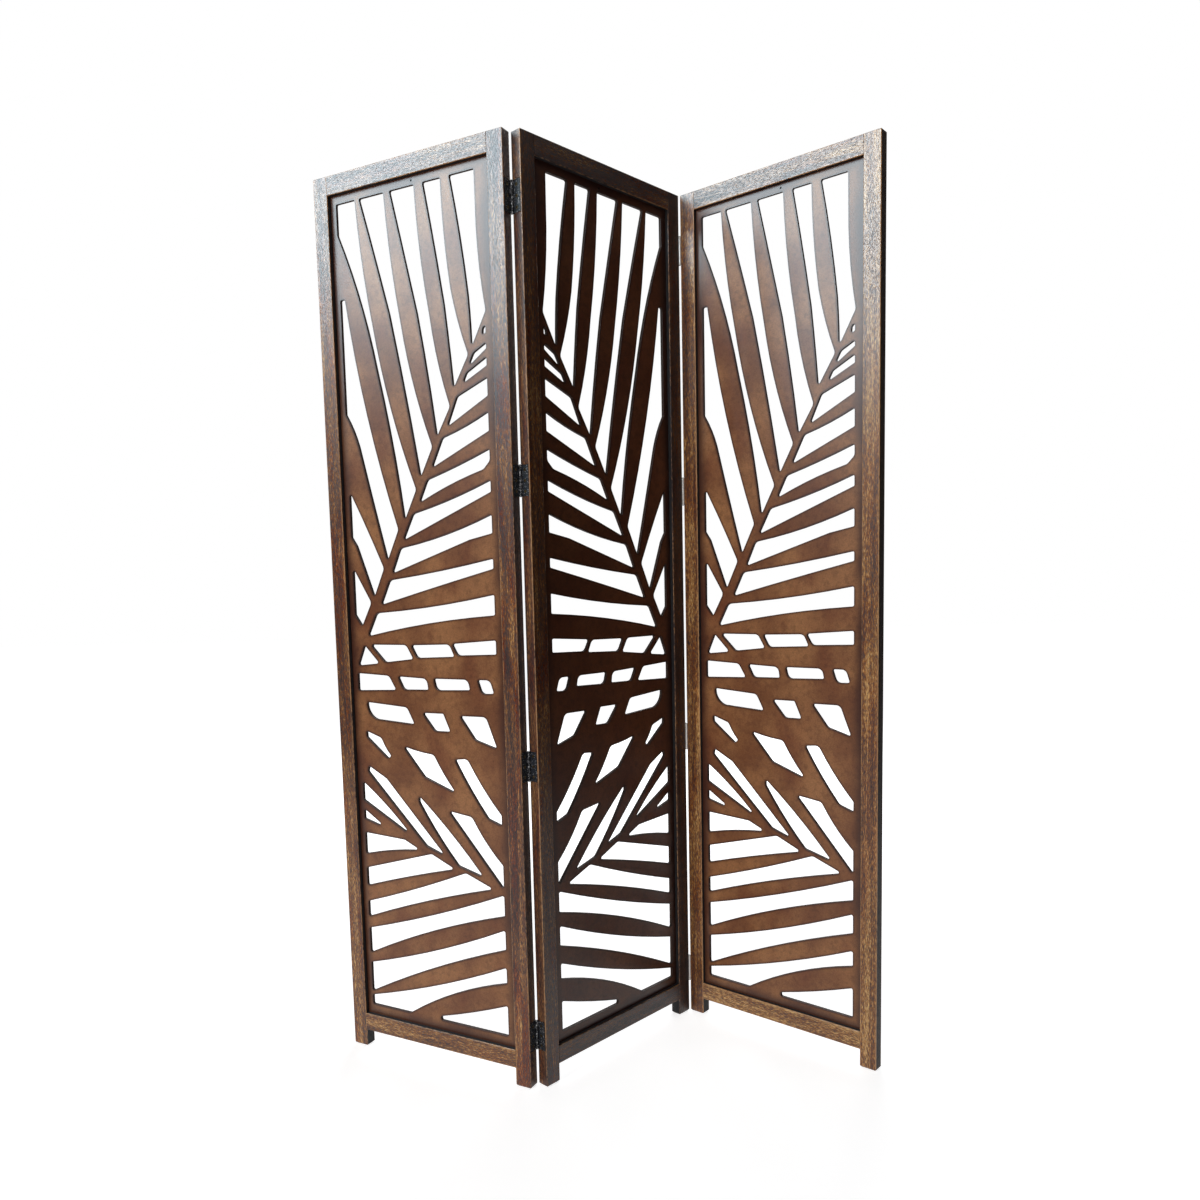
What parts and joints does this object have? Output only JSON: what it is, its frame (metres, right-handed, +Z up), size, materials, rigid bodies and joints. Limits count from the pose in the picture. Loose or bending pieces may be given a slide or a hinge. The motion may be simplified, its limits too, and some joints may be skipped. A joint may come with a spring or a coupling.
{
  "type": "folding screen",
  "caption": "Freestanding folding room screen: framed wooden panels with routed palm-frond fretwork boards, joined in a zigzag by butt hinges",
  "frame": {"origin": "on the floor, at the middle of the box round the screen as it stands in its zigzag", "axes": "+Z up, +X along the row of panels to the viewer's right, +Y away from the viewer"},
  "size_m": [1.0999, 0.3471, 1.8],
  "materials": {
    "frame_walnut": "open-grained solid wood, dark walnut stain, satin lacquer",
    "board_brown": "smooth fibreboard, brown satin lacquer, darker in the cut edges",
    "hinge_black": "black satin",
    "pin_steel": "black satin, worn at the heads",
    "screw_steel": "blackened, bright where the driver bit",
    "dowel_beech": "raw beech"
  },
  "bodies": {
    "middle_panel": {"left_hinge_bottom_middle_leaf": "hinge_black", "left_hinge_bottom_pin": "pin_steel", "left_hinge_lower_middle_leaf": "hinge_black", "left_hinge_lower_pin": "pin_steel", "left_hinge_screws_middle": "screw_steel", "left_hinge_top_middle_leaf": "hinge_black", "left_hinge_top_pin": "pin_steel", "left_hinge_upper_middle_leaf": "hinge_black", "left_hinge_upper_pin": "pin_steel", "middle_panel_board": "board_brown", "middle_panel_bottom_rail": "frame_walnut", "middle_panel_dowels": "dowel_beech", "middle_panel_left_stile": "frame_walnut", "middle_panel_right_stile": "frame_walnut", "middle_panel_top_rail": "frame_walnut", "right_hinge_bottom_middle_leaf": "hinge_black", "right_hinge_bottom_pin": "pin_steel", "right_hinge_lower_middle_leaf": "hinge_black", "right_hinge_lower_pin": "pin_steel", "right_hinge_screws_middle": "screw_steel", "right_hinge_top_middle_leaf": "hinge_black", "right_hinge_top_pin": "pin_steel", "right_hinge_upper_middle_leaf": "hinge_black", "right_hinge_upper_pin": "pin_steel"},
    "left_panel": {"left_hinge_bottom_outer_leaf": "hinge_black", "left_hinge_lower_outer_leaf": "hinge_black", "left_hinge_screws_left": "screw_steel", "left_hinge_top_outer_leaf": "hinge_black", "left_hinge_upper_outer_leaf": "hinge_black", "left_panel_board": "board_brown", "left_panel_bottom_rail": "frame_walnut", "left_panel_dowels": "dowel_beech", "left_panel_left_stile": "frame_walnut", "left_panel_right_stile": "frame_walnut", "left_panel_top_rail": "frame_walnut"},
    "right_panel": {"right_hinge_bottom_outer_leaf": "hinge_black", "right_hinge_lower_outer_leaf": "hinge_black", "right_hinge_screws_right": "screw_steel", "right_hinge_top_outer_leaf": "hinge_black", "right_hinge_upper_outer_leaf": "hinge_black", "right_panel_board": "board_brown", "right_panel_bottom_rail": "frame_walnut", "right_panel_dowels": "dowel_beech", "right_panel_left_stile": "frame_walnut", "right_panel_right_stile": "frame_walnut", "right_panel_top_rail": "frame_walnut"}
  },
  "joints": [
    {"name": "left_fold", "type": "hinge", "parent": "middle_panel", "child": "left_panel", "pos_m": [-0.13982, -0.15274, 0], "axis": [0, 0, 1], "range_deg": [-105, 78]},
    {"name": "right_fold", "type": "hinge", "parent": "middle_panel", "child": "right_panel", "pos_m": [0.19178, 0.15607, 0], "axis": [0, 0, 1], "range_deg": [-92, 91]}
  ]
}
